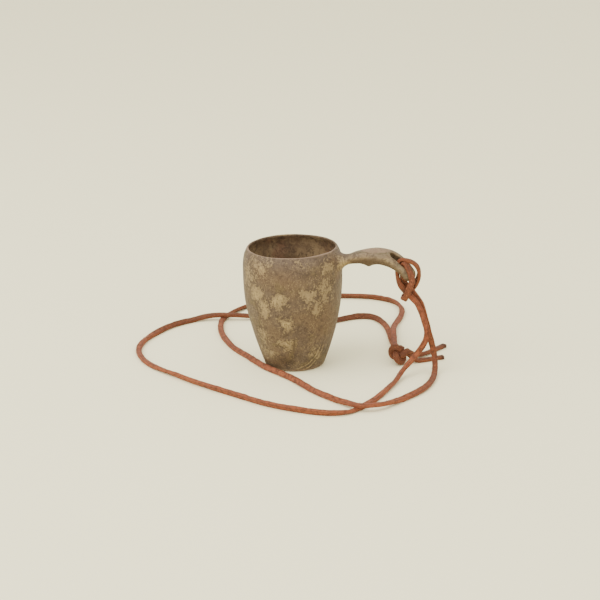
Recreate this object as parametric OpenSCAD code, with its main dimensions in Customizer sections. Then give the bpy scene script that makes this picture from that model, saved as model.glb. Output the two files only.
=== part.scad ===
// Kuksa: a drinking cup and its handle carved from one burl, with a doubled leather lace.
// Millimetres. The origin is the centre of the base, +Z is up and the handle points along +X.

/* [Bowl] */
// Height of the cup, from the base to the rim
height = 96.5; // [84:0.5:116]
// Outside diameter at the widest place
belly_d = 78.5; // [65:0.5:95]
// Height of the widest place
belly_z = 76; // [64:1:78]
// Outside diameter of the mouth
rim_d = 71.5; // [60:0.5:76]
// Outside diameter of the foot
foot_d = 46; // [36:0.5:56]
// Radius of the foot's rounded edge
foot_round = 2.2; // [1:0.1:4]
// Wall thickness of the bowl
wall = 4; // [3:0.1:6]
// Wall thickness at the rim
rim_wall = 1.8; // [1.4:0.1:3]
// Thickness of the bottom
bottom = 8; // [5:0.5:12]
// Height over which the inside wall rounds into the bottom
well_round = 16; // [8:1:24]

/* [Handle] */
// How far the handle's end stands out from the bowl's widest place
handle_reach = 57; // [47:0.5:69]
// Depth of the handle's root below the rim, on its centreline
root_drop = 10.5; // [9:0.5:14]
// Depth of the handle's crest below the rim, on its centreline
crest_drop = 4.4; // [2:0.2:8]
// How far the end hangs below the crest
handle_fall = 18; // [15:0.5:22]
// Width of the neck beside the bowl
neck_w = 13; // [11:0.5:15]
// Thickness of the neck beside the bowl
neck_t = 8.4; // [7:0.2:10]
// Width of the handle at its broadest
handle_w = 17; // [14:0.5:21]
// Thickness of the handle at its crest
handle_t = 11.4; // [9.4:0.2:13.6]
// Width of the handle's end
end_w = 14.5; // [13:0.5:17]
// Thickness of the handle's end
end_t = 7.2; // [6:0.2:9]
// Height of the spur between the two finger hollows
spur = 3.4; // [0:0.2:5]
// How far the handle's end is rolled towards the front, in degrees
end_roll = 20; // [0:1:25]

/* [Lace] */
// Width of the flat leather lace
lace_w = 4.5; // [3.5:0.1:5.5]
// Thickness of the lace
lace_t = 3; // [2.4:0.1:3.6]
// Play of the lace in the handle's slot, across its width
slot_play = 0.9; // [0.4:0.1:1.5]

/* [Hidden] */
burl = "#8c7352";
leather = "#a5573c";
$fn = 96;

// The handle's centreline runs as two Bezier curves, from the root in the wall over the crest to
// the end. A place along it is a number u: 0 is the root, 1 the crest and 2 the end.
wall_x = belly_d / 2;
root_at = [wall_x - 5, height - root_drop];
crest_at = [wall_x + handle_reach / 2, height - crest_drop];
end_at = [wall_x + handle_reach, height - crest_drop - handle_fall];
to_crest = [root_at, root_at + [10, 0], crest_at - [16, 0], crest_at];
to_end = [crest_at, crest_at + [14.5, 0], end_at + [-6, 10.5], end_at];
neck_u = 0.45;
flare_u = 0.42;
root_flare = 8;
spur_u = 0.85;
spur_reach = 0.22;
tip_u = 1.84;
slot_u = [1.3, 1.8];
slot_w = lace_w + slot_play;
rim_land = 0.2;
lip_r = (rim_wall - rim_land) / 2;

// The lace's points, in order from the hitch on the handle to the end knot. The lace lies on the
// ground with its middle lace_t / 2 up, and rises in a low hump where it crosses itself.
ground = lace_t / 2;
over = ground + lace_t + 0.2;
inner_route = [
    [99, 1.5, 60], [101, 1.5, 57], [105, 1.5, 46], [108, 1.5, 34], [111, 2, 22],
    [113, 2, 11], [114, -1, 5.5], [115, -8, 2.3], [116, -18, ground], [116, -30, ground],
    [114, -43, ground], [109, -57, ground], [102, -71, 2.2], [95, -84, 3.6], [87, -93, over],
    [78, -96, over], [67, -90, 3.6], [53, -80, 2], [40, -71, ground], [24, -57, ground],
    [6, -40, ground], [-18, -22, ground], [-39, 0, ground], [-56, 18, ground],
    [-70, 38, ground], [-80, 57, ground], [-86, 74, ground], [-89, 89, ground],
    [-88, 102, ground], [-80, 125, ground], [-59, 147, ground], [-34, 162, ground],
    [-5, 171, ground], [22, 173, ground], [42, 165, ground], [54, 147, ground],
    [58, 120, 1.8], [59, 97, 3], [63, 76, over], [68, 57, over], [73, 40, 5.4], [78, 24, 9],
    [80, 18.5, 11]
];
outer_route = [
    [97, -3, 60], [99, -3, 58], [103, -3, 51], [106, -3, 42], [108, -3, 34], [107, -3, 27],
    [104, -4, 21], [100, -6, 15.5], [96, -10, 10.5], [92, -16, 6], [90, -26, 3],
    [88, -42, ground], [85, -62, ground], [81, -79, ground], [76, -92, ground],
    [71, -102, ground], [63, -108, ground], [47, -110, ground], [28, -107, ground],
    [7, -101, ground], [-18, -89, ground], [-44, -76, ground], [-69, -62, ground],
    [-92, -47, ground], [-111, -33, ground], [-126, -14, ground], [-134, 6, ground],
    [-135, 28, ground], [-131, 48, ground], [-124, 66, ground], [-114, 80, 2],
    [-101, 89, 3.9], [-87, 92, over], [-69, 96, 3.8], [-45, 99, 2], [-21, 97, ground],
    [3, 101, ground], [19, 115, ground], [32, 119, ground], [44, 110, ground],
    [56, 88, ground], [64, 65, ground], [70, 48, ground], [75, 32, 2.6], [78, 24, 5.4],
    [80, 18.5, 7.8]
];
// The hitch: up behind the handle's end, out through the slot, down over the end, round both
// strands, up in an open loop, back in through the slot and down again.
hitch_route = [
    [99, 1.5, 60], [94.4, 1.5, 66], [90, 1.5, 71], [88, 0.4, 76], [87.8, 0, 81], [88, 0, 86],
    [90, -0.8, 87.4], [93.2, -2.8, 84.4], [96, -4.6, 79.6], [97, -5.8, 74.6], [95, -6.4, 69],
    [93, -6, 63.6], [90.4, -3, 59.4], [88.8, 1.6, 59.4], [91, 5.6, 61.6], [94, 6.6, 65],
    [97, 6, 69], [99.4, 5, 74], [100.6, 3.8, 79], [99.6, 2.8, 84], [96.2, 2, 87.6],
    [91.4, 1, 89.6], [87, 0.4, 89.8], [84.8, 0, 87], [84.4, 0, 82], [84.4, -0.6, 77.4],
    [86, -1.8, 72.4], [89, -2.8, 68], [92.5, -3, 64.5], [97, -3, 60]
];
// Which way the lace's flat side faces at each point of the hitch
front = [0, -1, 0];
back = [0, 1, 0];
towards_cup = [-1, 0, 0];
hitch_faces = [
    front, front, front - [0.6, 0, 0], [-1, -0.5, 0], towards_cup, [-1, 0, 0.6], [0, 0, 1],
    [0.7, -0.5, 0.5], [0.7, -0.8, 0.2], front, front, front, [-0.8, -0.4, -0.8],
    [-0.6, 0.5, -0.8], [0, 1, -0.5], back, [0.5, 0.9, -0.2], [0.9, 0.5, 0], [1, 0.2, 0],
    [1, 0, 0.3], [0.6, 0, 0.8], [0, 0, 1], [-0.7, 0, 0.7], towards_cup, towards_cup,
    [-1, -0.3, 0], [-0.7, -0.7, 0], front - [0.3, 0, 0], front, front
];
knot_at = [82, 14];
knot_d = 16.5;
knot_h = 13;
long_tail = [[86, 17, 4.4], [91, 24, 3.4], [97, 34, 2.2], [103, 47, ground], [109, 60, ground]];
short_tail = [[87, 12, 3.4], [94, 17, 2.2], [101, 22, ground], [107, 27, ground], [114, 32, ground]];

function unit(v) = v / norm(v);
function smooth(x) = let (s = min(1, max(0, x))) s * s * (3 - 2 * s);
function bezier(p, t) = pow(1 - t, 3) * p[0] + 3 * t * pow(1 - t, 2) * p[1]
    + 3 * t * t * (1 - t) * p[2] + pow(t, 3) * p[3];

// Outside radius of the bowl at height z: it swells from the foot to the belly, then draws in
function outer_r(z) = z < belly_z
    ? foot_d / 2 + (belly_d - foot_d) / 2 * pow(sin(90 * z / belly_z), 0.9)
    : belly_d / 2 - (belly_d - rim_d) / 2 * pow((z - belly_z) / (height - belly_z), 3);
function wall_at(z) = wall - (wall - rim_wall) * smooth((z - belly_z) / (height - belly_z));
function inner_r(z) = (outer_r(z) - wall_at(z))
    * sqrt(1 - pow(1 - min(1, (z - bottom) / well_round), 2));

// Places, widths and thicknesses along the handle
function middle(u) = u < 1 ? bezier(to_crest, u) : bezier(to_end, u - 1);
function along(u) = unit(middle(min(2, u + 0.01)) - middle(max(0, u - 0.01)));
function flare(u) = root_flare * pow(max(0, 1 - u / flare_u), 2);
function tip_round(u) = u < tip_u ? 1 : sqrt(max(0.02, 1 - pow((u - tip_u) / (2 - tip_u), 2)));
function handle_width(u) = (lookup(u, [[neck_u, neck_w], [1, handle_w], [1.4, handle_w - 0.5],
    [tip_u, end_w]]) + 2 * flare(u)) * tip_round(u);
function handle_thickness(u) = (lookup(u, [[neck_u, neck_t], [1, handle_t], [1.25, handle_t - 0.5],
    [1.6, end_t + 0.6], [tip_u, end_t]]) + 1.3 * flare(u)) * tip_round(u);
function spur_at(u) = spur * pow(max(0, 1 - abs(u - spur_u) / spur_reach), 1.6);
function roll_at(u) = end_roll * smooth((u - 0.7) / 0.8);

// One cross-section of the handle: a soft oval, with the spur on its underside
function handle_ring(u) = let (
        m = middle(u),
        t = along(u),
        roll = roll_at(u),
        up = [-t[1] * cos(roll), -sin(roll), t[0] * cos(roll)],
        side = [-t[1] * sin(roll), cos(roll), t[0] * sin(roll)]
    )
    [for (a = [0 : 18 : 342]) let (
            across = handle_width(u) / 2 * sign(cos(a)) * pow(abs(cos(a)), 0.85),
            high = handle_thickness(u) / 2 * sign(sin(a)) * pow(abs(sin(a)), 0.9),
            ridge = a > 180 ? spur_at(u) * pow(abs(sin(a)), 3) : 0
        )
        [m[0], 0, m[1]] + across * side + (high - ridge) * up];

// One flat cross-section of the lace, with bevelled edges, facing a given way
function lace_ring(points, faces, i) = let (
        last = len(points) - 1,
        t = unit(points[min(last, i + 1)] - points[max(0, i - 1)]),
        side = unit(cross(faces[i], t)),
        up = cross(t, side),
        bevel = lace_t * 0.3,
        w = lace_w / 2,
        h = lace_t / 2
    )
    [for (q = [[w, h - bevel], [w - bevel, h], [bevel - w, h], [-w, h - bevel],
               [-w, bevel - h], [bevel - w, -h], [w - bevel, -h], [w, bevel - h]])
        points[i] + q[0] * side + q[1] * up];

// On the ground the lace lies flat; where it hangs, its flat side faces the front
function lie_flat(points) = [for (p = points) let (a = 90 * smooth((p[2] - 6) / 18))
    [0, -sin(a), cos(a)]];

module loft(rings) {
    n = len(rings[0]);
    last = len(rings) - 1;
    polyhedron(
        points = [for (r = rings) each r],
        faces = concat(
            [[for (k = [0 : n - 1]) k]],
            [[for (k = [n - 1 : -1 : 0]) last * n + k]],
            [for (i = [0 : last - 1], k = [0 : n - 1])
                [i * n + k, (i + 1) * n + k, (i + 1) * n + (k + 1) % n]],
            [for (i = [0 : last - 1], k = [0 : n - 1])
                [i * n + k, (i + 1) * n + (k + 1) % n, i * n + (k + 1) % n]]));
}

module strand(points, faces) {
    loft([for (i = [0 : len(points) - 1]) lace_ring(points, faces, i)]);
}

// The outside of the bowl, filled: foot edge, wall and the outer half of the rounded rim
module bowl_outside() {
    foot_r = outer_r(foot_round) - foot_round;
    top = height - lip_r;
    rotate_extrude()
        polygon(concat(
            [[0, 0]],
            [for (a = [-90 : 15 : -15]) [foot_r, foot_round] + foot_round * [cos(a), sin(a)]],
            [for (s = [0 : 1 / 24 : 0.999]) let (z = foot_round + s * (top - foot_round))
                [outer_r(z), z]],
            [for (a = [0 : 30 : 90]) [rim_d / 2 - lip_r, top] + lip_r * [cos(a), sin(a)]],
            [[0, height]]));
}

// The hollow of the bowl: a round well, the inside of the wall and the inner half of the rim
module bowl_inside() {
    well_top = bottom + well_round;
    top = height - lip_r;
    rotate_extrude()
        polygon(concat(
            [[0, bottom]],
            [for (a = [10 : 10 : 80]) let (z = well_top - well_round * cos(a)) [inner_r(z), z]],
            [for (s = [0 : 1 / 16 : 0.999]) let (z = well_top + s * (top - well_top))
                [inner_r(z), z]],
            [for (a = [180 : -30 : 90])
                [rim_d / 2 - rim_wall + lip_r, top] + lip_r * [cos(a), sin(a)]],
            [[rim_d / 2 - rim_wall + lip_r, height + 1], [0, height + 1]]));
}

module handle() {
    steps = concat([for (u = [0 : 0.05 : 1.8]) u], [1.84, 1.88, 1.91, 1.94, 1.96, 1.98, 1.993, 2]);
    loft([for (u = steps) handle_ring(u)]);
}

// The slot runs along the end of the handle and goes through its flat
module slot() {
    a = middle(slot_u[0]);
    b = middle(slot_u[1]);
    long = norm(b - a);
    translate([a[0], 0, a[1]])
        rotate([0, atan2(a[1] - b[1], b[0] - a[0]), 0])
            rotate([end_roll, 0, 0]) {
                for (x = [0, long])
                    translate([x, 0, 0])
                        cylinder(d = slot_w, h = 4 * handle_t, center = true);
                translate([long / 2, 0, 0])
                    cube([long, slot_w, 4 * handle_t], center = true);
            }
}

module cup() {
    color(burl)
        difference() {
            union() {
                bowl_outside();
                handle();
            }
            bowl_inside();
            slot();
        }
}

module handle_hitch() {
    color(leather)
        strand(hitch_route, hitch_faces);
}

module lace_inner() {
    color(leather)
        strand(inner_route, lie_flat(inner_route));
}

module lace_outer() {
    color(leather)
        strand(outer_route, lie_flat(outer_route));
}

module end_knot() {
    color(leather) {
        translate([knot_at[0], knot_at[1], knot_h / 2])
            rotate_extrude($fn = 48)
                polygon([for (a = [-90 : 15 : 90]) [knot_d / 2 * cos(a), knot_h / 2 * sin(a)]]);
        strand(long_tail, lie_flat(long_tail));
        strand(short_tail, lie_flat(short_tail));
    }
}

cup();
handle_hitch();
lace_inner();
lace_outer();
end_knot();
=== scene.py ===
# %% [markdown]
# # A kuksa and its leather lace
#
# A kuksa is a drinking cup carved from a burl, the knotty growth on the side of a birch. This one
# has a bowl and one arched handle cut from the same lump of wood, and a long leather thong that
# is hitched through a slot in the handle and tied at its ends.
#
# There are two things to model: the wood and the thong. The sizes come from the imported CAD
# model, so the first cell loads it.

import bmesh
import bpy
import numpy as np
from mathutils import Matrix, Vector, noise


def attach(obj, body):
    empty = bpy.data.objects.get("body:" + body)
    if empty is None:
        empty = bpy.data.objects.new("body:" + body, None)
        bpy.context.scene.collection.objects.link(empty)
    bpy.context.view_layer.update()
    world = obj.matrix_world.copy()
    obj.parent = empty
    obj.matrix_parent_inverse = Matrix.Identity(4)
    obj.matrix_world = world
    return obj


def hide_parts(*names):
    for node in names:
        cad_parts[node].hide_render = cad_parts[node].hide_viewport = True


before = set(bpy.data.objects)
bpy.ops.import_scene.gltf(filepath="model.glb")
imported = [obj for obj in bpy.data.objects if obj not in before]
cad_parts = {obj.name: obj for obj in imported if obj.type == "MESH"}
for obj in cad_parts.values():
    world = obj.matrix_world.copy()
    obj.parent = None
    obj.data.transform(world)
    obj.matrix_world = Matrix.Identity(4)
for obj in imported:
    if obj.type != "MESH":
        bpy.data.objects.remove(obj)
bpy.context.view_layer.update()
MM = 0.001
print("CAD nodes:", sorted(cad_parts))

# %% [markdown]
# ## The camera
#
# A long lens from a metre and a half keeps the cup's sides nearly upright. The camera looks down a
# little, from slightly right of the front. Its three axes are worked out one by one, because a
# small roll is easier to add to them than to an aimed camera.

# %% Camera
AZIMUTH = np.radians(16)
ELEVATION = np.radians(17.54)
ROLL = np.radians(-1.42)
LOOK_AT = np.array([0.0050, 0.0014, 0.0519])
DISTANCE = 1.5
LENS_MM = 114

back = np.array([
    np.sin(AZIMUTH) * np.cos(ELEVATION),
    -np.cos(AZIMUTH) * np.cos(ELEVATION),
    np.sin(ELEVATION),
])
level = np.array([np.cos(AZIMUTH), np.sin(AZIMUTH), 0])
upward = np.cross(back, level)
camera_x = np.cos(ROLL) * level + np.sin(ROLL) * upward
camera_y = -np.sin(ROLL) * level + np.cos(ROLL) * upward
place = LOOK_AT + DISTANCE * back

camera = bpy.data.objects.new("camera", bpy.data.cameras.new("camera"))
camera.data.lens = LENS_MM
camera.matrix_world = Matrix([
    [*row, at] for row, at in zip(np.stack([camera_x, camera_y, back], 1), place)
] + [[0, 0, 0, 1]])
bpy.context.scene.collection.objects.link(camera)
bpy.context.scene.camera = camera
print("camera at", place.round(3), "with a", LENS_MM, "mm lens")

# %% [markdown]
# ## The thong's route
#
# The thong is one strip of leather. Its middle goes through the handle's slot as a lark's head
# hitch, its two halves wander over the table, and both ends are tied in one overhand knot.
# Limp things look right when one smooth curve runs through a few well-chosen points, so the
# route is a list of points and a natural cubic curve joins them. The lace lies on the table and
# rises in a low hump wherever it crosses itself.

# %% Points of the two halves, from the hitch to the knot
LACE_WIDTH = 4.5
LACE_THICKNESS = 3.0
GROUND = LACE_THICKNESS / 2
CROSSING_GAP = 0.2
OVER = GROUND + LACE_THICKNESS + CROSSING_GAP

INNER_HALF = [
    [99, 1.5, 60], [101, 1.5, 57], [105, 1.5, 46], [108, 1.5, 34], [111, 2, 22],
    [113, 2, 11], [114, -1, 5.5], [115, -8, 2.3], [116, -18, GROUND], [116, -30, GROUND],
    [114, -43, GROUND], [109, -57, GROUND], [102, -71, 2.2], [95, -84, 3.6], [87, -93, OVER],
    [78, -96, OVER], [67, -90, 3.6], [53, -80, 2], [40, -71, GROUND], [24, -57, GROUND],
    [6, -40, GROUND], [-18, -22, GROUND], [-39, 0, GROUND], [-56, 18, GROUND],
    [-70, 38, GROUND], [-80, 57, GROUND], [-86, 74, GROUND], [-89, 89, GROUND],
    [-88, 102, GROUND], [-80, 125, GROUND], [-59, 147, GROUND], [-34, 162, GROUND],
    [-5, 171, GROUND], [22, 173, GROUND], [42, 165, GROUND], [54, 147, GROUND],
    [58, 120, 1.8], [59, 97, 3], [63, 76, OVER], [68, 57, OVER], [73, 40, 5.4], [78, 24, 9],
    [80, 18.5, 11],
]
OUTER_HALF = [
    [97, -3, 60], [99, -3, 58], [103, -3, 51], [106, -3, 42], [108, -3, 34], [107, -3, 27],
    [104, -4, 21], [100, -6, 15.5], [96, -10, 10.5], [92, -16, 6], [90, -26, 3],
    [88, -42, GROUND], [85, -62, GROUND], [81, -79, GROUND], [76, -92, GROUND],
    [71, -102, GROUND], [63, -108, GROUND], [47, -110, GROUND], [28, -107, GROUND],
    [7, -101, GROUND], [-18, -89, GROUND], [-44, -76, GROUND], [-69, -62, GROUND],
    [-92, -47, GROUND], [-111, -33, GROUND], [-126, -14, GROUND], [-134, 6, GROUND],
    [-135, 28, GROUND], [-131, 48, GROUND], [-124, 66, GROUND], [-114, 80, 2],
    [-101, 89, 3.9], [-87, 92, OVER], [-69, 96, 3.8], [-45, 99, 2], [-21, 97, GROUND],
    [3, 101, GROUND], [19, 115, GROUND], [32, 119, GROUND], [44, 110, GROUND],
    [56, 88, GROUND], [64, 65, GROUND], [70, 48, GROUND], [75, 32, 2.6], [78, 24, 5.4],
    [80, 18.5, 7.8],
]
print(len(INNER_HALF), "and", len(OUTER_HALF), "points in the two halves")

# %% Which way the flat side faces
FLAT_BELOW = 6
UPRIGHT_ABOVE = 24


def smooth_step(x):
    """Rises softly from 0 to 1 as x goes from 0 to 1."""
    x = np.clip(x, 0, 1)
    return x * x * (3 - 2 * x)


def lie_flat(points):
    """The lace's flat side faces up on the table, and forward where the lace hangs."""
    height = np.array(points)[:, 2]
    turn = np.radians(90) * smooth_step((height - FLAT_BELOW) / (UPRIGHT_ABOVE - FLAT_BELOW))
    return np.stack([0 * turn, -np.sin(turn), np.cos(turn)], 1)


print("flat below", FLAT_BELOW, "mm, upright above", UPRIGHT_ABOVE, "mm")

# %% [markdown]
# ### Turns and browning
#
# A flat thong seldom lies flat for long. In places it stands half on its edge and shows its broad
# side, and between them it turns and looks thin. Handling has also browned some stretches more
# than others. Both are set at a few points of each half, counted from the hitch: the point's
# number, how far the thong has turned over in degrees, and how brown it is from 0 to 1.

# %% Turns and browning along the two halves
INNER_MARKS = [  # point, turn in degrees, brownness
    (0, 0, 0.45), (6, 0, 0.5), (9, 30, 0.55), (12, 10, 0.3), (14, 0, 0.1), (16, 0, 0.1),
    (18, 58, 0.05), (21, 62, 0.1), (23, 15, 0.3), (27, 0, 0.5), (29, 40, 0.8), (31, 70, 0.75),
    (34, 66, 0.7), (36, 10, 0.35), (38, 0, 0.3), (40, 0, 0.5),
]
OUTER_MARKS = [
    (0, 0, 0.1), (5, -20, 0.05), (9, 34, 0.25), (12, 5, 0.15), (14, 0, 0.1), (16, 45, 0.15),
    (17, 68, 0.1), (20, 66, 0.05), (22.4, 62, 0.1), (23.4, 4, 0.2), (27, 0, 0.35), (29, 50, 0.7),
    (31, 10, 0.75), (33, 8, 0.75), (35, 64, 0.95), (38, 66, 1.0), (40, 0, 0.35), (42, 0, 0.3),
    (45, 0, 0.45),
]


def marks_at(marks, count):
    """Turn and brownness at every route point of a half."""
    at, turn, brown = np.array(marks, float).T
    index = np.arange(count)
    return np.stack([np.interp(index, at, turn), np.interp(index, at, brown)], 1)


inner_marks = marks_at(INNER_MARKS, len(INNER_HALF))
outer_marks = marks_at(OUTER_MARKS, len(OUTER_HALF))
print("largest turn:", inner_marks[:, 0].max(), outer_marks[:, 0].max())

# %% [markdown]
# ## The hitch
#
# From the back strand the thong goes up behind the handle's end, out through the slot, down over
# the end, round both strands, up again in an open loop, back in through the slot and down as the
# front strand. Beside each point stands the way that the lace's flat side faces there. Without
# those directions a flat strip would twist at random round so tight a path.

# %% Points of the hitch
FRONT = np.array([0, -1, 0])
HITCH = [  # point, the way the flat side faces
    ([94.4, 1.5, 66], FRONT), ([90, 1.5, 71], [-0.6, -1, 0]), ([88, 0.4, 76], [-1, -0.5, 0]),
    ([87.8, 0, 81], [-1, 0, 0]), ([88, 0, 86], [-1, 0, 0.6]), ([90, -0.8, 87.4], [0, 0, 1]),
    ([93.2, -2.8, 84.4], [0.7, -0.5, 0.5]), ([96, -4.6, 79.6], [0.7, -0.8, 0.2]),
    ([97, -5.8, 74.6], FRONT), ([95, -6.4, 69], FRONT), ([93, -6, 63.6], FRONT),
    ([90.4, -3, 59.4], [-0.8, -0.4, -0.8]), ([88.8, 1.6, 59.4], [-0.6, 0.5, -0.8]),
    ([91, 5.6, 61.6], [0, 1, -0.5]), ([94, 6.6, 65], [0, 1, 0]), ([97, 6, 69], [0.5, 0.9, -0.2]),
    ([99.4, 5, 74], [0.9, 0.5, 0]), ([100.6, 3.8, 79], [1, 0.2, 0]),
    ([99.6, 2.8, 84], [1, 0, 0.3]), ([96.2, 2, 87.6], [0.6, 0, 0.8]),
    ([91.4, 1, 89.6], [0, 0, 1]), ([87, 0.4, 89.8], [-0.7, 0, 0.7]),
    ([84.8, 0, 87], [-1, 0, 0]), ([84.4, 0, 82], [-1, 0, 0]),
    ([84.4, -0.6, 77.4], [-1, -0.3, 0]), ([86, -1.8, 72.4], [-0.7, -0.7, 0]),
    ([89, -2.8, 68], [-0.3, -1, 0]), ([92.5, -3, 64.5], FRONT),
]
print(len(HITCH), "points in the hitch")

# %% [markdown]
# ## The knot
#
# An overhand knot is an open trefoil: take the trefoil curve, cut its outermost arc and pull the
# two ends out. Both strands follow the same curve, one lying on the other. The knot's own plane
# leans back, so its lobes are seen from the front, and the height above that plane swings three
# times to carry the strand over and under.

# %% Points of the knot and the tails
KNOT_AT = np.array([82.0, 14.0, 8.1])
KNOT_LEAN = np.radians(55)
KNOT_TURN = np.radians(125)
KNOT_SIZE = 2.3
KNOT_DEPTH = 2.3
KNOT_ENDS = np.radians([208, 512])
KNOT_POINTS = 15
STRAND_LIFT = LACE_THICKNESS / 2
LOWER_SHARE = 0.94
knot_back = np.array([-np.sin(AZIMUTH), np.cos(AZIMUTH), 0])
knot_up = np.cos(KNOT_LEAN) * knot_back + np.array([0, 0, np.sin(KNOT_LEAN)])
knot_face = np.cross(level, knot_up)


def knot_points(lift, size):
    """An overhand knot from where the strand comes in to where its tail leaves."""
    t = np.linspace(*KNOT_ENDS, KNOT_POINTS)
    x = np.sin(t) + 2 * np.sin(2 * t)
    y = np.cos(t) - 2 * np.cos(2 * t)
    across = size * (np.cos(KNOT_TURN) * x - np.sin(KNOT_TURN) * y)
    along = size * (np.sin(KNOT_TURN) * x + np.cos(KNOT_TURN) * y)
    height = lift + KNOT_DEPTH * np.sin(3 * t)
    return (KNOT_AT + across[:, None] * level + along[:, None] * knot_up
            + height[:, None] * knot_face)


LONG_TAIL = [[91, 24, 4.6], [97, 34, 2.4], [103, 47, GROUND], [109, 60, GROUND]]
SHORT_TAIL = [[94, 18, 3.0], [101, 22, GROUND], [107, 27, GROUND], [114, 32, GROUND]]
upper_knot = knot_points(STRAND_LIFT, KNOT_SIZE)
lower_knot = knot_points(-STRAND_LIFT, LOWER_SHARE * KNOT_SIZE)
print("knot from", upper_knot.min(0).round(1), "to", upper_knot.max(0).round(1))

# %% [markdown]
# ## One long curve
#
# Everything above is joined into a single route from one tail to the other. Because one curve
# runs through it all, the pieces cut from it later meet without a kink. The curve is resampled
# evenly, which gives every stretch of leather the same fineness.

# %% Draw a curve through points
STEP = 0.9
FINE_STEP = STEP / 4


def natural_curve(points):
    """Dense points on a natural cubic curve, with their place counted in route points."""
    p = np.array(points, float)
    t = np.r_[0, np.cumsum(np.linalg.norm(np.diff(p, axis=0), axis=1))]
    h = np.diff(t)
    system, right = np.eye(len(p)), np.zeros_like(p)
    for i in range(1, len(p) - 1):
        system[i, i - 1:i + 2] = h[i - 1], 2 * (h[i - 1] + h[i]), h[i]
        right[i] = 6 * ((p[i + 1] - p[i]) / h[i] - (p[i] - p[i - 1]) / h[i - 1])
    bend = np.linalg.solve(system, right)
    s = np.arange(0, t[-1], FINE_STEP)
    k = np.clip(np.searchsorted(t, s, side="right") - 1, 0, len(p) - 2)
    a, b, span = (t[k + 1] - s)[:, None], (s - t[k])[:, None], h[k][:, None]
    line = ((bend[k] * a ** 3 + bend[k + 1] * b ** 3) / (6 * span)
            + (p[k] / span - bend[k] * span / 6) * a
            + (p[k + 1] / span - bend[k + 1] * span / 6) * b)
    return line, k + (b / span)[:, 0]


def resampled(line, place):
    """The same curve with a point every STEP."""
    gone = np.r_[0, np.cumsum(np.linalg.norm(np.diff(line, axis=0), axis=1))]
    s = np.linspace(0, gone[-1], int(gone[-1] / STEP) + 1)
    return np.stack([np.interp(s, gone, c) for c in line.T], 1), np.interp(s, gone, place)


print("rings", STEP, "mm apart")

# %% Join the route
UP = np.array([0, 0, 1])
TAIL_BROWN = 0.65
TIP_BROWN = 1.8
KNOT_BROWN = 0.8
HITCH_BROWN = 0.6
sections = [  # points, the way the flat side faces, turn and brownness
    (LONG_TAIL[::-1], [UP] * len(LONG_TAIL), [(0, TIP_BROWN), *[(0, TAIL_BROWN)] * 3]),
    (upper_knot[::-1], [knot_face] * len(upper_knot), [(0, KNOT_BROWN)] * len(upper_knot)),
    (INNER_HALF[::-1], lie_flat(INNER_HALF)[::-1], inner_marks[::-1]),
    ([p for p, _ in HITCH], [f for _, f in HITCH], [(0, HITCH_BROWN)] * len(HITCH)),
    (OUTER_HALF, lie_flat(OUTER_HALF), outer_marks),
    (lower_knot, [knot_face] * len(lower_knot), [(0, KNOT_BROWN)] * len(lower_knot)),
    (SHORT_TAIL, [UP] * len(SHORT_TAIL), [*[(0, TAIL_BROWN)] * 3, (0, TIP_BROWN)]),
]
route, facing, marks = (np.concatenate([np.array(section[i], float) for section in sections])
                        for i in range(3))
starts = np.cumsum([0] + [len(section[0]) for section in sections])
centre, place = resampled(*natural_curve(route))
thong_length = np.linalg.norm(np.diff(centre, axis=0), axis=1).sum()
print(f"the thong is {thong_length:.0f} mm long, in {len(centre)} rings")

# %% [markdown]
# ## From curve to leather
#
# A strip cut from a hide isn't a perfect bar. Its corners are rounded by wear, its width and
# thickness drift a little, it rolls slightly to one side or the other, and its surface is rough.
# Each ring of the mesh gets those small faults from smooth noise, so they are the same each run.
# Where a ring would sink into the table it is lifted until it lies on it.

# %% Section and noise
RING_POINTS = 20
EDGE_ROUNDNESS = 0.45
ROLL_DRIFT = [(11, 34, 3.1), (4, 9, 7.7)]  # amount, length in mm, seed
WIDTH_DRIFT = [(0.07, 21, 1.3), (0.04, 5, 4.2)]
DEPTH_DRIFT = [(0.06, 17, 9.4), (0.03, 4, 2.6)]
corner = np.linspace(0, 2 * np.pi, RING_POINTS, endpoint=False)
section_x = np.sign(np.cos(corner)) * np.abs(np.cos(corner)) ** EDGE_ROUNDNESS
section_y = np.sign(np.sin(corner)) * np.abs(np.sin(corner)) ** EDGE_ROUNDNESS
along = np.arange(len(centre)) * STEP


def drift(layers):
    """Smooth noise along the thong, the sum of a few layers."""
    return sum(amount * 2 * np.array([noise.noise(Vector((s / length, seed, 0.5))) for s in along])
               for amount, length, seed in layers)


print("the width drifts up and down by", drift(WIDTH_DRIFT).max().round(3))

# %% Rings of the thong
WIDTH_SHARE = 1.04
TABLE_GAP = 0.02


def unit(vectors):
    """The same directions with length 1."""
    return vectors / np.linalg.norm(vectors, axis=1, keepdims=True)


tangent = unit(np.gradient(centre, axis=0))
normal = np.stack([np.interp(place, np.arange(len(route)), c) for c in facing.T], 1)
side = unit(np.cross(normal, tangent))
normal = np.cross(tangent, side)
turned, brown = (np.interp(place, np.arange(len(route)), c) for c in marks.T)
roll = np.radians(turned + drift(ROLL_DRIFT))
side, normal = (side * np.cos(roll)[:, None] + normal * np.sin(roll)[:, None],
                normal * np.cos(roll)[:, None] - side * np.sin(roll)[:, None])
half_width = LACE_WIDTH / 2 * (WIDTH_SHARE + drift(WIDTH_DRIFT))
half_depth = LACE_THICKNESS / 2 * (1 + drift(DEPTH_DRIFT))
rings = (centre[:, None]
         + (half_width[:, None] * section_x)[..., None] * side[:, None]
         + (half_depth[:, None] * section_y)[..., None] * normal[:, None])
rings[..., 2] += np.maximum(0, TABLE_GAP - rings[..., 2].min(1))[:, None]
print("lowest and highest point of the thong in mm:", rings[..., 2].min().round(2),
      rings[..., 2].max().round(1))

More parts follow.
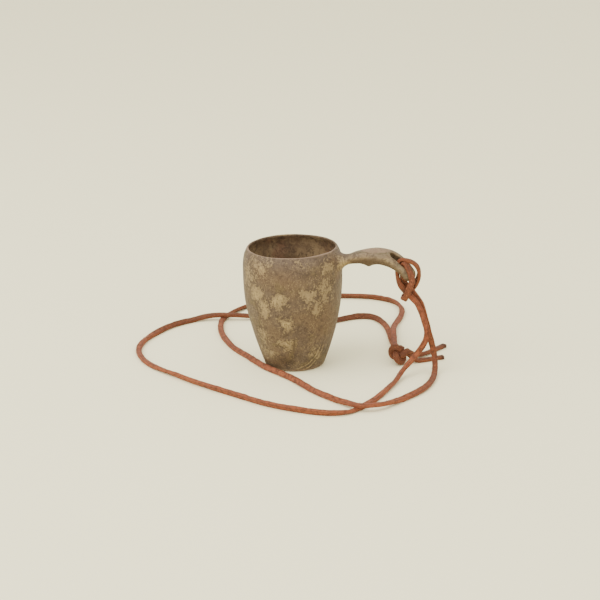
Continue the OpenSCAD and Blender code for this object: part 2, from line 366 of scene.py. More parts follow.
# %% [markdown]
# ### Four pieces of leather
#
# The rings are now skinned into four pieces: the hitch, the two halves, and the knot with its
# tails. Three numbers are stored at each vertex for the leather to use later: how far along the
# thong it is, how brown it is, and whether it is on a flat side or on a cut edge.

# %% Skin the rings into pieces
FUZZ = 0.1
FUZZ_GRAIN = 0.9


def stored(mesh, name, values):
    """Keeps one number per vertex on the mesh, under a name that materials can read."""
    mesh.attributes.new(name, "FLOAT", "POINT").data.foreach_set("value", np.float32(values))


def strip(name, *spans):
    """One piece made of one or more runs of rings, each closed at both ends."""
    points, faces, run, tone, edge = [], [], [], [], []
    for first, last in spans:
        rows, base = rings[first:last + 1], len(points)
        points += [p for ring in rows for p in ring]
        run += [s for s in along[first:last + 1] for _ in corner]
        tone += [b for b in brown[first:last + 1] for _ in corner]
        edge += list(np.abs(section_x) ** 3) * len(rows)
        for i in range(len(rows) - 1):
            for k in range(RING_POINTS):
                a, b = base + i * RING_POINTS + k, base + i * RING_POINTS + (k + 1) % RING_POINTS
                faces.append([a, b, b + RING_POINTS, a + RING_POINTS])
        end = base + (len(rows) - 1) * RING_POINTS
        faces.append([base + k for k in reversed(range(RING_POINTS))])
        faces.append([end + k for k in range(RING_POINTS)])
    rough = [FUZZ * noise.noise(Vector(p) / FUZZ_GRAIN) for p in points]
    middle = np.repeat(np.concatenate([centre[a:b + 1] for a, b in spans]), RING_POINTS, axis=0)
    points = np.array(points) + unit(np.array(points) - middle) * np.array(rough)[:, None]
    mesh = bpy.data.meshes.new(name)
    mesh.from_pydata(points * MM, [], faces)
    mesh.polygons.foreach_set("use_smooth", [len(f) == 4 for f in faces])
    stored(mesh, "along", np.array(run) * MM)
    stored(mesh, "brown", tone)
    stored(mesh, "edge", edge)
    mesh.update()
    piece = bpy.data.objects.new(name, mesh)
    bpy.context.scene.collection.objects.link(piece)
    print(f"{name}: {len(points)} vertices")
    return piece


# The ring numbers where one piece ends and the next begins.
cut = [0, *(int(np.argmin(np.abs(place - at))) for at in
            (starts[2], starts[3] - 1, starts[4], starts[5] - 1)), len(centre) - 1]
knot = strip("overhand_knot", (cut[0], cut[1]), (cut[4], cut[5]))
inner_lace = strip("back_half_of_lace", (cut[1], cut[2]))
hitch = strip("hitch_on_handle", (cut[2], cut[3]))
outer_lace = strip("front_half_of_lace", (cut[3], cut[4]))

# %% [markdown]
# ### Stray fibres
#
# Here and there a fibre of the raw hide stands up at a corner of the strip. Each one is a thin
# closed spike rooted in the leather, and together they are one piece.

# %% Stray fibres
FIBRES = 260
FIBRE_THICKNESS = (0.08, 0.3)
FIBRE_LENGTH = (0.5, 1.8)
ROOT_DEPTH = 0.4
LEAN_SPREAD = 0.25
LEAN_SHARES = [1, 1, 0.3]
CORNERS = (2, 3, 7, 8, 12, 13, 17, 18)  # ring points nearest a corner of the section
SPIKE = ((2, 1, 0), (0, 1, 3), (1, 2, 3), (2, 0, 3))  # faces of one fibre
chance = np.random.default_rng(3)
points, faces, run, tone = [], [], [], []
for ring in chance.integers(0, len(centre) - 1, FIBRES):
    start = rings[ring, chance.choice(CORNERS)]
    lean = (start - centre[ring]) / LACE_WIDTH + chance.normal(0, LEAN_SPREAD, 3) * LEAN_SHARES
    thick, length = chance.uniform(*FIBRE_THICKNESS), chance.uniform(*FIBRE_LENGTH)
    if lean[2] < 0:
        continue
    lean /= np.linalg.norm(lean)
    across = unit(np.cross(lean, tangent[[ring]]))[0]
    other = np.cross(lean, across)
    root = start - ROOT_DEPTH * lean
    first = len(points)
    points += [root + thick * across, root + thick * (other - 0.5 * across),
               root - thick * (other + 0.5 * across), start + length * lean]
    faces += [[first + i for i in face] for face in SPIKE]
    run += [along[ring] * MM] * 4
    tone += [brown[ring]] * 4
mesh = bpy.data.meshes.new("stray_fibres")
mesh.from_pydata(np.array(points) * MM, [], faces)
for key, values in (("along", run), ("brown", tone), ("edge", [1.0] * len(points))):
    stored(mesh, key, values)
fibres = bpy.data.objects.new("stray_fibres", mesh)
bpy.context.scene.collection.objects.link(fibres)
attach(fibres, "root")
print(len(points) // 4, "stray fibres")

# %% Hide the CAD parts and attach the pieces
for piece, node in ((knot, "end_knot"), (inner_lace, "lace_inner"),
                    (hitch, "handle_hitch"), (outer_lace, "lace_outer")):
    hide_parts(node)
    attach(piece, "root")


# %% [markdown]
# ## The cup
#
# The CAD cup has the right sizes, but its skin is made of flats and its handle meets the bowl in
# a sharp line. Carved wood has neither. A voxel remesh turns the CAD shape into an even skin of
# small squares, and smoothing then melts the flats away. The join of handle and bowl is smoothed
# for much longer, which leaves the soft hollow that a knife makes there.

# %% Remesh the carved shape
VOXEL = 0.81
WELD = 0.001


def remeshed(source, name):
    """A copy of a CAD node's mesh with an even skin."""
    mesh = source.data.copy()
    weld = bmesh.new()
    weld.from_mesh(mesh)
    bmesh.ops.remove_doubles(weld, verts=weld.verts, dist=WELD * MM)
    weld.to_mesh(mesh)
    weld.free()
    piece = bpy.data.objects.new(name, mesh)
    bpy.context.scene.collection.objects.link(piece)
    remesh = piece.modifiers.new("even skin", "REMESH")
    remesh.mode = "VOXEL"
    remesh.voxel_size = VOXEL * MM
    skinned = bpy.data.meshes.new_from_object(
        piece.evaluated_get(bpy.context.evaluated_depsgraph_get()))
    piece.modifiers.clear()
    piece.data = skinned
    skinned.name = name
    return piece


def vertices_of(mesh):
    """The mesh's vertices in millimetres."""
    co = np.zeros(len(mesh.vertices) * 3, np.float32)
    mesh.vertices.foreach_get("co", co)
    return co.reshape(-1, 3).astype(float) / MM


cup = remeshed(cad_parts["cup"], "carved_cup")
cup.data.materials.clear()
skin = vertices_of(cup.data)
pairs = np.zeros(len(cup.data.edges) * 2, np.int32)
cup.data.edges.foreach_get("vertices", pairs)
pairs = pairs.reshape(-1, 2)
print("cup:", len(skin), "vertices")

# %% Smooth it
SMOOTH_ROUNDS = 14
SHRINK = 0.55
SWELL = -0.5
ROOT_ROUNDS = 150
ROOT_AT = [41.5, 0, 85.5]
ROOT_SIZE = [7.5, 13, 8.5]
WALL_OUTSIDE = 35.6
ends = np.concatenate([pairs[:, 0], pairs[:, 1]])
others = np.concatenate([pairs[:, 1], pairs[:, 0]])
neighbours = np.bincount(ends, minlength=len(skin))


def pull(points, share):
    """Moves each vertex a share of the way to the mean of its neighbours."""
    mean = np.stack([np.bincount(ends, points[others, i], len(points)) for i in range(3)], 1)
    return points + np.reshape(share, (-1, 1)) * (mean / neighbours[:, None] - points)


for _ in range(SMOOTH_ROUNDS):
    skin = pull(pull(skin, SHRINK), SWELL)
from_root = np.linalg.norm((skin - ROOT_AT) / ROOT_SIZE, axis=1)
radius = np.linalg.norm(skin[:, :2], axis=1)
root_share = 0.5 * smooth_step(1.5 - from_root) * smooth_step((radius - WALL_OUTSIDE) / 1.5)
for _ in range(ROOT_ROUNDS):
    skin = pull(skin, root_share)
print("vertices softened at the handle's root:", int((root_share > 0).sum()))

# %% [markdown]
# ### Marks of the knife
#
# A cup cut with a crooked knife is never quite round. Slow noise pushes the skin in and out by a
# few tenths of a millimetre, and a finer one leaves the shallow facets of the blade. What stands
# proud of its surroundings is where hands polish the wood, so that height is kept for later.

# %% Carve it by hand
WAVE = 0.45
WAVE_LENGTH = 26
FACET = 0.16
FACET_LENGTH = 7.5
FOOT_KEPT = 0.6
CALM_ROUNDS = 24


def normals_of(points):
    """Puts the cup's vertices at those points and returns their normals."""
    cup.data.vertices.foreach_set("co", np.float32(points * MM).ravel())
    cup.data.update()
    out = np.zeros(len(points) * 3, np.float32)
    cup.data.vertex_normals.foreach_get("vector", out)
    return out.reshape(-1, 3).astype(float)


def field(points, scale, seed=0.0):
    """Smooth 3-D noise from about -1 to 1, with features of that many millimetres."""
    return np.array([noise.noise(Vector(p)) for p in points / scale + seed])


outward = normals_of(skin)
free = smooth_step((skin[:, 2] - FOOT_KEPT) / 4)
blade = np.abs(field(skin * [1, 1, 0.55], FACET_LENGTH, 11.0))
wave = field(skin, WAVE_LENGTH, 5.0)
skin = skin + outward * (free * (WAVE * wave + FACET * (0.3 - blade)))[:, None]
skin[:, 2] = np.maximum(skin[:, 2], 0)

calm = skin
for _ in range(CALM_ROUNDS):
    calm = pull(calm, 0.5)
outward = normals_of(skin)
proud = np.einsum("ij,ij->i", skin - calm, outward)
cup.data.polygons.foreach_set("use_smooth", [True] * len(cup.data.polygons))
print("cup box in mm:", skin.min(0).round(1), skin.max(0).round(1))

# %% [markdown]
# ## Where the burl is pale and where it is dark
#
# Burl wood has no straight grain. It is a jumble of pale, ragged islands in brown wood, darker
# inside, with a warm red stain in places. The islands on the front are given as an angle round the
# cup, a height and a size, and those on the back at random. One pale spot, on the handle's root,
# is a painted highlight, and one dark spot, low on the front left at the foot, is painted shade.
# Low on the front right the rings of a small knot in the wood show as pale and dark lines. Each
# vertex keeps how pale, dark or warm it is. The material then frays those soft spots into the
# ragged edges of real burl, which a texture alone couldn't place.

# %% Spots on the front and the back
PALE_ISLANDS_AND_ROOT_HIGHLIGHT = [  # angle in degrees, height, width, tallness, strength
    (-112, 85, 6.5, 5.5, 0.95), (-124, 91, 11, 8, 0.58), (-138, 78, 8, 14, 0.6),
    (-104, 92, 8, 5, 0.5), (-128, 80, 9, 6, 0.55),
    (-90, 62, 8.5, 6, 1.0), (-121, 67, 7, 9, 0.85), (-111, 55, 7, 8, 0.85),
    (-84, 43, 6, 8.5, 1.0), (-85, 25, 7, 5.5, 0.72), (-58, 67, 9, 7, 0.7),
    (-36, 68, 16, 14, 0.56), (-31, 87, 11, 7, 0.62), (-44, 55, 12, 7, 0.55),
    (-122, 16, 12, 6, 0.6), (-123, 33, 7, 9, 0.66), (-38, 15, 12, 7, 0.55),
    # The last spot here, at -8 degrees and 85 mm up on the handle's root, is a painted highlight.
    (-66, 90, 2.5, 1.2, 0.8), (-8, 85, 6, 5, 0.95),
]
DARK_STAINS_AND_FOOT_SHADE = [  # the same five numbers
    # The spot at -92 degrees and 12 mm up is painted shade at the foot, not a stain.
    (-60, 84, 14, 8, 0.6), (-92, 12, 12, 7, 0.8), (-60, 38, 18, 16, 0.5),
    (-100, 72, 9, 5, 0.5), (-14, 14, 10, 10, 0.7), (-88, 50, 6, 4, 0.6), (-90, 34, 5, 4, 0.55),
]
WARM_SPOTS = [
    (-10, 77, 6, 4, 0.7), (-110, 83, 6, 5, 0.3), (-40, 40, 16, 16, 0.15), (-80, 80, 14, 9, 0.2),
]
random = np.random.default_rng(7)
for spots, count in ((PALE_ISLANDS_AND_ROOT_HIGHLIGHT, 22), (DARK_STAINS_AND_FOOT_SHADE, 10), (WARM_SPOTS, 4)):
    for _ in range(count):
        spots.append((random.uniform(25, 185), random.uniform(8, 92), random.uniform(5, 13),
                      random.uniform(5, 12), random.uniform(0.5, 1)))
print(len(PALE_ISLANDS_AND_ROOT_HIGHLIGHT), "pale,", len(DARK_STAINS_AND_FOOT_SHADE), "dark and", len(WARM_SPOTS), "warm spots")

# %% The inside and the handle
WELL_BOTTOM = 6
WELL_TOP = 95.8
FOOT_RADIUS = 19
FLARE = 20
FLARE_HEIGHT = 76
NECK_FROM = 60
NECK_RADIUS = 36.6
HANDLE_FROM = 43

angle = np.degrees(np.arctan2(skin[:, 1], skin[:, 0]))
radius = np.linalg.norm(skin[:, :2], axis=1)
bowl_radius = FOOT_RADIUS + FLARE * np.sin(np.clip(skin[:, 2] / FLARE_HEIGHT, 0, 1) * np.pi / 2)
well_radius = np.where(skin[:, 2] > NECK_FROM, NECK_RADIUS, bowl_radius * 0.93)
in_well = (radius < well_radius) & (skin[:, 2] > WELL_BOTTOM) & (skin[:, 2] < WELL_TOP)
inside = in_well * (1 - smooth_step(outward @ [0, 0, 1] * 2 - 1.6))
inside = inside * (np.einsum("ij,ij->i", outward[:, :2], skin[:, :2]) <= radius * 0.5)
on_handle = smooth_step((skin[:, 0] - HANDLE_FROM) / 9)
# Painted shade: the handle's surface that faces downward is marked here, to be darkened in its
# colour.
underside_shade = on_handle * smooth_step(0.55 - outward[:, 2] * 1.4)
print("share of the skin that is inside:", inside.mean().round(2))

# %% Fields of colour on the cup
RIM_FROM = 90
LIP_FROM = 95.8
RING_HEART = [5.4, -30.7, 27]
RING_REACH = 27
RING_SPACING = 3.1


def spread(spots):
    """How strongly each vertex lies in any of the spots, from 0 to 1."""
    found = np.zeros(len(skin))
    wander = np.stack([field(skin, 9, s) for s in (21.0, 33.0)], 1) * 5
    for at, height, width, tall, strength in spots:
        off = (angle - at + 180) % 360 - 180
        x = np.radians(off) * np.maximum(radius, 8) + wander[:, 0]
        y = skin[:, 2] - height + wander[:, 1]
        found = np.maximum(found, strength * np.exp(-((x / width) ** 2 + (y / tall) ** 2)))
    return found


level_with_rim = smooth_step((skin[:, 2] - RIM_FROM) / 3)
lip = smooth_step((skin[:, 2] - LIP_FROM) / 0.6) * (0.1 + 0.85 * smooth_step(0.5 - skin[:, 1] / 30))
proud = proud * (1 - level_with_rim) * (1 - 0.7 * on_handle)
pale = spread(PALE_ISLANDS_AND_ROOT_HIGHLIGHT) * (1 - inside) * (1 - 0.6 * on_handle)
dark = spread(DARK_STAINS_AND_FOOT_SHADE) * (1 - inside) * (1 - on_handle)

from_heart = np.linalg.norm(skin - RING_HEART, axis=1)
ring_zone = (smooth_step(1.2 - np.abs(from_heart - RING_REACH) / 6)
             * smooth_step((26 - skin[:, 2]) / 6) * smooth_step((skin @ level + 4) / 8)
             * smooth_step(-skin[:, 1] / 8) * (1 - inside))
growth_rings = np.sin(2 * np.pi * (from_heart + 0.8 * field(skin, 6, 44.0)) / RING_SPACING)
pale = np.maximum(pale, 0.85 * ring_zone * growth_rings)
dark = np.maximum(dark, 0.9 * ring_zone * -growth_rings)
warm = spread(WARM_SPOTS) * (1 - 0.5 * on_handle)
for name, values in (("pale", pale), ("dark", dark), ("warm", warm), ("inside", inside),
                     ("proud", proud), ("handle", on_handle), ("underside_shade", underside_shade),
                     ("lip", lip)):
    stored(cup.data, name, values)
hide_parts("cup")
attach(cup, "root")
print("share of the skin in pale islands:", (pale > 0.5).mean().round(2))

# %% [markdown]
# ## Tools for materials
#
# The next cells build node trees. A few short helpers keep them readable: some add a node and set
# its sockets by name, and one makes a node group with named inputs and outputs. Colours are
# picked as they look on a screen and turned into the linear values that the shader wants.

# %% Helpers for node trees
def screen_colour(red, green, blue):
    """A colour as a screen shows it, 0 to 255, as linear light."""
    c = np.array([red, green, blue]) / 255
    return (*np.where(c <= 0.04045, c / 12.92, ((c + 0.055) / 1.055) ** 2.4), 1)


def filled(tree, node, inputs):
    """Sets a node's inputs. Each one is a value, or another node's output."""
    for key, value in inputs.items():
        if isinstance(value, bpy.types.NodeSocket):
            tree.links.new(value, node.inputs[key])
        else:
            node.inputs[key].default_value = value
    return node


def add(tree, kind, inputs=None, **settings):
    """Adds a node of a kind, with its settings and inputs."""
    node = tree.nodes.new("ShaderNode" + kind)
    for key, value in settings.items():
        setattr(node, key, value)
    return filled(tree, node, inputs or {})


def arithmetic(tree, operation, a, b):
    """A sum, a difference or a product of two numbers."""
    return add(tree, "Math", {0: a, 1: b}, operation=operation).outputs[0]


def times(tree, a, b):
    """The product of two numbers."""
    return arithmetic(tree, "MULTIPLY", a, b)


def remap(tree, value, low, high, to_low=0.0, to_high=1.0, kind="SMOOTHSTEP"):
    """Stretches the range from low to high over another range."""
    return add(tree, "MapRange", {"Value": value, "From Min": low, "From Max": high,
                                  "To Min": to_low, "To Max": to_high},
               interpolation_type=kind).outputs["Result"]


def blend_colours(tree, share, a, b, kind="MIX"):
    """Colour a with a share of colour b laid over it."""
    node = add(tree, "Mix", {0: share, 6: a, 7: b}, data_type="RGBA", blend_type=kind)
    return node.outputs[2]


print("node helpers ready")

# %% Helpers for groups and materials
def group(name, inputs, outputs):
    """A new node group. Returns its tree, its input node and its output node."""
    tree = bpy.data.node_groups.new(name, "ShaderNodeTree")
    for way, sockets in (("INPUT", inputs), ("OUTPUT", outputs)):
        for label, kind, *value in sockets:
            socket = tree.interface.new_socket(label, in_out=way, socket_type="NodeSocket" + kind)
            if value:
                socket.default_value = value[0]
    return tree, tree.nodes.new("NodeGroupInput"), tree.nodes.new("NodeGroupOutput")


def placed(tree, group_tree, inputs):
    """Puts a group into a tree, with its own values."""
    node = tree.nodes.new("ShaderNodeGroup")
    node.node_tree = group_tree
    return filled(tree, node, inputs)


def new_material(name):
    """A material, its tree and its shader."""
    material = bpy.data.materials.new(name)
    material.use_nodes = True
    tree = material.node_tree
    return material, tree, tree.nodes["Principled BSDF"]


def kept(tree, name):
    """The number that a mesh keeps under that name."""
    return add(tree, "Attribute", attribute_name=name).outputs["Fac"]


print("group helpers ready")

# %% [markdown]
# ### Ragged edge
#
# Pale burl meets brown wood in a frayed line, and so does a stain in leather. This group takes a
# soft field and a place, adds coarse and fine noise to the field, and cuts it off fairly sharply.
# One group serves both materials with different scales.

# %% Group: ragged edge
ragged, group_in, group_out = group(
    "ragged edge",
    [("Field", "Float", 0.0), ("Vector", "Vector"), ("Coarse", "Float", 180.0),
     ("Fine", "Float", 1100.0), ("Fray", "Float", 0.5), ("Cut", "Float", 0.4),
     ("Softness", "Float", 0.1)],
    [("Mask", "Float")])
coarse = add(ragged, "TexNoise", {"Vector": group_in.outputs["Vector"],
                                  "Scale": group_in.outputs["Coarse"], "Detail": 5.0,
                                  "Roughness": 0.62, "Distortion": 0.6}).outputs[0]
fine = add(ragged, "TexNoise", {"Vector": group_in.outputs["Vector"],
                                "Scale": group_in.outputs["Fine"], "Detail": 2.0,
                                "Roughness": 0.6}).outputs[0]
mixed = arithmetic(ragged, "ADD", times(ragged, coarse, 0.8), times(ragged, fine, 1.2))
frayed = times(ragged, arithmetic(ragged, "SUBTRACT", mixed, 1.0), group_in.outputs["Fray"])
field_sum = arithmetic(ragged, "ADD", group_in.outputs["Field"], frayed)
low_cut = arithmetic(ragged, "SUBTRACT", group_in.outputs["Cut"], group_in.outputs["Softness"])
high_cut = arithmetic(ragged, "ADD", group_in.outputs["Cut"], group_in.outputs["Softness"])
ragged.links.new(remap(ragged, field_sum, low_cut, high_cut), group_out.inputs["Mask"])
print(ragged.name, "has", len(ragged.nodes), "nodes")

# %% [markdown]
# ### Speckle
#
# Close up, burl is full of tiny eyes and pores, and leather has dark follicles. A cell texture
# gives the dots and a noise decides where they crowd together. The group also puts out a height
# for each cell, which the wood uses for its relief.

# %% Group: speckle
speckle, group_in, group_out = group(
    "speckle",
    [("Vector", "Vector"), ("Size", "Float", 700.0), ("Crowding", "Float", 90.0),
     ("Amount", "Float", 0.5)],
    [("Dots", "Float"), ("Height", "Float")])
cells = add(speckle, "TexVoronoi", {"Vector": group_in.outputs["Vector"],
                                    "Scale": group_in.outputs["Size"], "Randomness": 1.0})
dots = remap(speckle, cells.outputs["Distance"], 0.16, 0.42, 1.0, 0.0)
crowd = add(speckle, "TexNoise", {"Vector": group_in.outputs["Vector"],
                                  "Scale": group_in.outputs["Crowding"], "Detail": 4.0}).outputs[0]
crowded = remap(speckle, crowd, 0.42, 0.62)
shown = times(speckle, times(speckle, dots, crowded), group_in.outputs["Amount"])
speckle.links.new(shown, group_out.inputs["Dots"])
speckle.links.new(cells.outputs["Distance"], group_out.inputs["Height"])
print(speckle.name, "has", len(speckle.nodes), "nodes")

# %% [markdown]
# ## Burl wood
#
# The colour is built in layers, as a painter would: a brown ground that drifts between warm and
# grey, pale ragged islands with yellower hearts, dark stains, then fine grain and specks. One pale
# spot on the handle's root is a painted highlight, and one dark spot by the foot is painted shade.
# The inside and the handle have colours of their own, laid over these, with painted shade on the
# handle's underside. Last come pale polished edges, a mark of use, and darker wood in the
# hollows. Oiled wood is satin, a little glossier where it is rubbed.

# %% Material: burl
burl, tree, surface = new_material("burl")
where = add(tree, "TexCoord").outputs["Object"]
GROUND_BROWN = screen_colour(97, 77, 56)
GREY_BROWN = screen_colour(92, 75, 60)
OLIVE_BROWN = screen_colour(95, 78, 51)
PALE_TAN = screen_colour(137, 116, 82)
HEART_YELLOW = screen_colour(157, 135, 90)
DARK_BROWN = screen_colour(59, 43, 29)
RED_BROWN = screen_colour(105, 68, 43)

drift_a = add(tree, "TexNoise", {"Vector": where, "Scale": 34.0, "Detail": 4.0}).outputs[0]
drift_b = add(tree, "TexNoise", {"Vector": where, "Scale": 58.0, "Detail": 5.0,
                                 "Distortion": 0.8}).outputs[0]
mottle = add(tree, "TexNoise", {"Vector": where, "Scale": 260.0, "Detail": 5.0,
                                "Roughness": 0.7, "Distortion": 1.0}).outputs[0]
ground = blend_colours(tree, remap(tree, drift_a, 0.4, 0.62), GROUND_BROWN, GREY_BROWN)
ground = blend_colours(tree, remap(tree, drift_b, 0.52, 0.7), ground, OLIVE_BROWN)
ground = blend_colours(tree, remap(tree, mottle, 0.5, 0.66, 0.0, 0.6), ground, DARK_BROWN)
ground = blend_colours(tree, remap(tree, mottle, 0.46, 0.32, 0.0, 0.45), ground, PALE_TAN)

soft_pale = remap(tree, kept(tree, "pale"), 0.2, 0.9, 0.0, 0.3)
ragged_pale = placed(tree, ragged, {"Field": kept(tree, "pale"), "Vector": where, "Coarse": 170.0,
                                    "Fine": 560.0, "Fray": 1.5, "Cut": 0.48,
                                    "Softness": 0.1}).outputs["Mask"]
ragged_heart = placed(tree, ragged, {"Field": kept(tree, "pale"), "Vector": where, "Coarse": 260.0,
                                     "Fine": 620.0, "Fray": 1.4, "Cut": 0.82,
                                     "Softness": 0.12}).outputs["Mask"]
ragged_dark = placed(tree, ragged, {"Field": kept(tree, "dark"), "Vector": where, "Coarse": 140.0,
                                    "Fine": 640.0, "Fray": 1.1, "Cut": 0.55,
                                    "Softness": 0.2}).outputs["Mask"]
colour = blend_colours(tree, soft_pale, ground, PALE_TAN)
outline = times(tree, remap(tree, kept(tree, "pale"), 0.16, 0.4, 0.0, 0.42),
                arithmetic(tree, "SUBTRACT", 1.0, ragged_pale))
colour = blend_colours(tree, outline, colour, DARK_BROWN)
colour = blend_colours(tree, times(tree, ragged_pale, 0.85), colour, PALE_TAN)
colour = blend_colours(tree, times(tree, ragged_heart, 0.8), colour, HEART_YELLOW)
colour = blend_colours(tree, times(tree, ragged_dark, 0.6), colour, DARK_BROWN)
colour = blend_colours(tree, times(tree, kept(tree, "warm"), 0.5), colour, RED_BROWN)
print("layers so far:", len(tree.nodes), "nodes")

# %% Fine grain and specks
stretched = add(tree, "Mapping", {"Vector": where, "Scale": (1.0, 1.0, 0.28)}).outputs[0]
grain = add(tree, "TexNoise", {"Vector": stretched, "Scale": 620.0, "Detail": 4.0,
                               "Roughness": 0.7, "Distortion": 1.2}).outputs[0]
grain_share = remap(tree, grain, 0.35, 0.68, 0.0, 0.36, "LINEAR")
colour = blend_colours(tree, grain_share, colour, DARK_BROWN, "MULTIPLY")
eyes = placed(tree, speckle, {"Vector": where, "Size": 520.0, "Crowding": 70.0, "Amount": 0.6})
colour = blend_colours(tree, eyes.outputs["Dots"], colour, DARK_BROWN)
flecks = placed(tree, speckle, {"Vector": where, "Size": 700.0, "Crowding": 110.0, "Amount": 0.6})
colour = blend_colours(tree, flecks.outputs["Dots"], colour, PALE_TAN)
print("with grain:", len(tree.nodes), "nodes")

# %% Colours of the inside and the handle
INSIDE_OLIVE = screen_colour(128, 107, 76)
INSIDE_DARK = screen_colour(94, 73, 50)
INSIDE_RED = screen_colour(112, 78, 58)
HANDLE_GREY = screen_colour(117, 99, 74)
HANDLE_GREEN = screen_colour(95, 87, 62)
# A dark brown for mottle on the handle, and also the colour of the painted shade on its underside.
HANDLE_DARK_AND_UNDERSIDE_SHADE = screen_colour(74, 56, 36)

bowl = blend_colours(tree, remap(tree, drift_a, 0.42, 0.58), INSIDE_OLIVE, INSIDE_DARK)
bowl = blend_colours(tree, remap(tree, drift_b, 0.54, 0.66, 0.0, 0.8), bowl, INSIDE_RED)
bowl = blend_colours(tree, remap(tree, mottle, 0.5, 0.6, 0.0, 0.7), bowl, DARK_BROWN)
bowl = blend_colours(tree, remap(tree, mottle, 0.46, 0.36, 0.0, 0.35), bowl, PALE_TAN)
colour = blend_colours(tree, times(tree, kept(tree, "inside"), 0.75), colour, bowl)
swept = add(tree, "Mapping", {"Vector": where, "Scale": (0.25, 1.0, 1.0)}).outputs[0]
streak = add(tree, "TexNoise", {"Vector": swept, "Scale": 190.0, "Detail": 5.0,
                                "Roughness": 0.6}).outputs[0]
grip = blend_colours(tree, remap(tree, streak, 0.5, 0.6), HANDLE_GREY, HANDLE_GREEN)
grip = blend_colours(tree, remap(tree, streak, 0.46, 0.36, 0.0, 0.5), grip, HEART_YELLOW)
grip = blend_colours(tree, remap(tree, mottle, 0.48, 0.6, 0.0, 0.8), grip, HANDLE_DARK_AND_UNDERSIDE_SHADE)
# Painted shade: the handle's underside is darkened in its colour.
grip = blend_colours(tree, kept(tree, "underside_shade"), grip, HANDLE_DARK_AND_UNDERSIDE_SHADE)
colour = blend_colours(tree, times(tree, kept(tree, "handle"), 0.78), colour, grip)
print("with the handle:", len(tree.nodes), "nodes")

# %% Marks of use, darker hollows and relief
RUBBED = screen_colour(143, 117, 95)
worn = remap(tree, kept(tree, "proud"), 0.05, 0.4)
worn = times(tree, worn, remap(tree, mottle, 0.35, 0.65, 0.75, 0.2))
colour = blend_colours(tree, times(tree, worn, 0.7), colour, RUBBED)
colour = blend_colours(tree, times(tree, kept(tree, "lip"), 0.7), colour, RUBBED)
# The wood is darker where its skin lies below the smoothed shape.
hollow = remap(tree, kept(tree, "proud"), -0.03, -0.3)
colour = blend_colours(tree, times(tree, hollow, 0.6), colour, DARK_BROWN)

rough = remap(tree, grain, 0.3, 0.7, 0.5, 0.68)
rough = arithmetic(tree, "SUBTRACT", rough, times(tree, worn, 0.12))
relief = arithmetic(tree, "ADD", times(tree, grain, -0.6),
                    times(tree, eyes.outputs["Height"], 0.35))
bump = add(tree, "Bump", {"Height": relief, "Strength": 0.4, "Distance": 0.0004}).outputs[0]
tree.links.new(colour, surface.inputs["Base Color"])
tree.links.new(rough, surface.inputs["Roughness"])
tree.links.new(bump, surface.inputs["Normal"])
surface.inputs["Specular IOR Level"].default_value = 0.38
cup.data.materials.append(burl)
print("burl:", len(tree.nodes), "nodes")

# %% [markdown]
# ## Lace leather
#
# The thong is dyed red-brown and rough on all four sides, like suede. The dye sits unevenly along
# its length, handled stretches are browner, the cut edges stay redder and their corners darker,
# and fibres stand up all over. The longest were modelled above, and a little sheen on the shader
# stands for the rest.

# %% Material: leather
leather, tree, surface = new_material("lace leather")
where = add(tree, "TexCoord").outputs["Object"]
DYE_RED = screen_colour(124, 66, 44)
DYE_DARK = screen_colour(80, 42, 26)
FRESH_ORANGE = screen_colour(137, 75, 45)
HANDLED_BROWN = screen_colour(77, 46, 29)
EDGE_RED = screen_colour(122, 66, 42)

stretch = add(tree, "TexNoise", {"W": times(tree, kept(tree, "along"), 16.0), "Scale": 1.0,
                                 "Detail": 3.0}, noise_dimensions="1D").outputs[0]
blotch = add(tree, "TexNoise", {"Vector": where, "Scale": 260.0, "Detail": 5.0,
                                "Roughness": 0.7}).outputs[0]
colour = blend_colours(tree, remap(tree, stretch, 0.35, 0.65), DYE_RED, FRESH_ORANGE)
colour = blend_colours(tree, remap(tree, blotch, 0.47, 0.6, 0.0, 0.85), colour, DYE_DARK)
browned = placed(tree, ragged, {"Field": kept(tree, "brown"), "Vector": where, "Coarse": 150.0,
                                "Fine": 800.0, "Fray": 0.8, "Cut": 0.5,
                                "Softness": 0.32}).outputs["Mask"]
colour = blend_colours(tree, times(tree, browned, 0.78), colour, HANDLED_BROWN)
edge_share = times(tree, kept(tree, "edge"), remap(tree, blotch, 0.3, 0.6, 0.1, 0.42))
colour = blend_colours(tree, edge_share, colour, EDGE_RED)
print("dye:", len(tree.nodes), "nodes")

# %% Corners, tips and fibres of the leather
FIBRE_LIGHT = screen_colour(172, 116, 80)
CUT_DARK = screen_colour(58, 31, 22)
nap = add(tree, "TexNoise", {"Vector": where, "Scale": 1100.0, "Detail": 3.0,
                             "Roughness": 0.7}).outputs[0]
corner_line = remap(tree, kept(tree, "edge"), 0.12, 0.3)
corner_line = times(tree, corner_line, remap(tree, kept(tree, "edge"), 0.7, 0.4))
colour = blend_colours(tree, times(tree, corner_line, 0.45), colour, CUT_DARK)
tip = remap(tree, kept(tree, "brown"), 1.25, 1.6)
colour = blend_colours(tree, times(tree, tip, 0.85), colour, CUT_DARK)
follicles = placed(tree, speckle, {"Vector": where, "Size": 900.0, "Crowding": 160.0,
                                   "Amount": 0.6})
colour = blend_colours(tree, follicles.outputs["Dots"], colour, DYE_DARK)
colour = blend_colours(tree, remap(tree, nap, 0.52, 0.74, 0.0, 0.55), colour, FIBRE_LIGHT)
relief = arithmetic(tree, "ADD", nap, times(tree, blotch, 0.5))
bump = add(tree, "Bump", {"Height": relief, "Strength": 0.7, "Distance": 0.0004}).outputs[0]
tree.links.new(colour, surface.inputs["Base Color"])
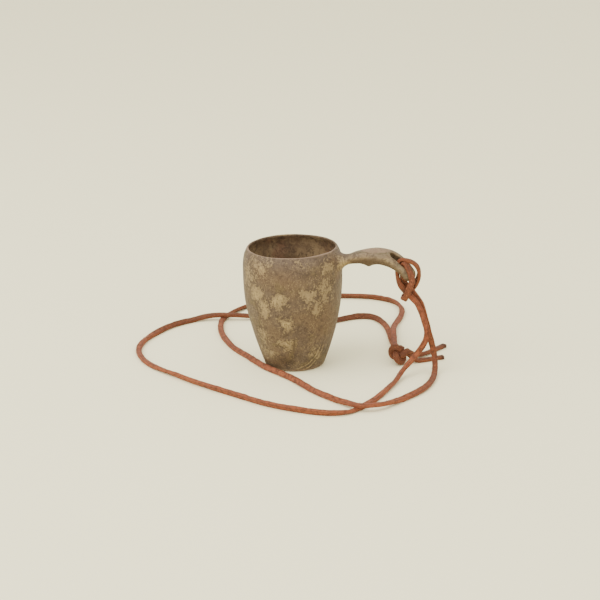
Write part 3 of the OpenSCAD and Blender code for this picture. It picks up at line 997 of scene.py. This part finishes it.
tree.links.new(remap(tree, nap, 0.3, 0.7, 0.62, 0.88), surface.inputs["Roughness"])
tree.links.new(bump, surface.inputs["Normal"])
surface.inputs["Specular IOR Level"].default_value = 0.25
surface.inputs["Sheen Weight"].default_value = 0.1
surface.inputs["Sheen Roughness"].default_value = 0.45
surface.inputs["Sheen Tint"].default_value = screen_colour(215, 150, 120)
for piece in (knot, inner_lace, hitch, outer_lace, fibres):
    piece.data.materials.append(leather)
print("leather:", len(tree.nodes), "nodes")

# %% [markdown]
# ## Table and light
#
# A plain pale table and one broad soft light from the upper left, with the bright room filling
# the shadows. The table is far larger than the view, so its edge never shows.

# %% Floor
TABLE_HALF = 5.0
table = bpy.data.meshes.new("table")
table.from_pydata([(-TABLE_HALF, -TABLE_HALF, 0), (TABLE_HALF, -TABLE_HALF, 0),
                   (TABLE_HALF, TABLE_HALF, 0), (-TABLE_HALF, TABLE_HALF, 0)], [], [(0, 1, 2, 3)])
floor = bpy.data.objects.new("table", table)
bpy.context.scene.collection.objects.link(floor)
pale_top, tree, surface = new_material("pale table")
surface.inputs["Base Color"].default_value = screen_colour(252, 247, 208)
surface.inputs["Roughness"].default_value = 0.8
table.materials.append(pale_top)
print("table", 2 * TABLE_HALF, "m wide")

# %% Lamps and room
AIM = Vector((0, 0, 0.05))
ROOM_LIGHT = 1.7

for name, at, size, power, tint in (
        ("key", (-1.0, -0.9, 1.5), 2.0, 42, (1.0, 0.98, 0.94)),
        ("fill", (1.4, -1.2, 1.0), 1.4, 11, (0.98, 0.99, 1.0))):
    lamp = bpy.data.lights.new(name, "AREA")
    lamp.size = size
    lamp.energy = power
    lamp.color = tint
    holder = bpy.data.objects.new(name, lamp)
    holder.location = at
    holder.rotation_euler = (AIM - Vector(at)).to_track_quat("-Z", "Y").to_euler()
    bpy.context.scene.collection.objects.link(holder)

room = bpy.data.worlds.new("room")
room.use_nodes = True
room.node_tree.nodes["Background"].inputs[0].default_value = screen_colour(252, 247, 234)
room.node_tree.nodes["Background"].inputs[1].default_value = ROOM_LIGHT
bpy.context.scene.world = room
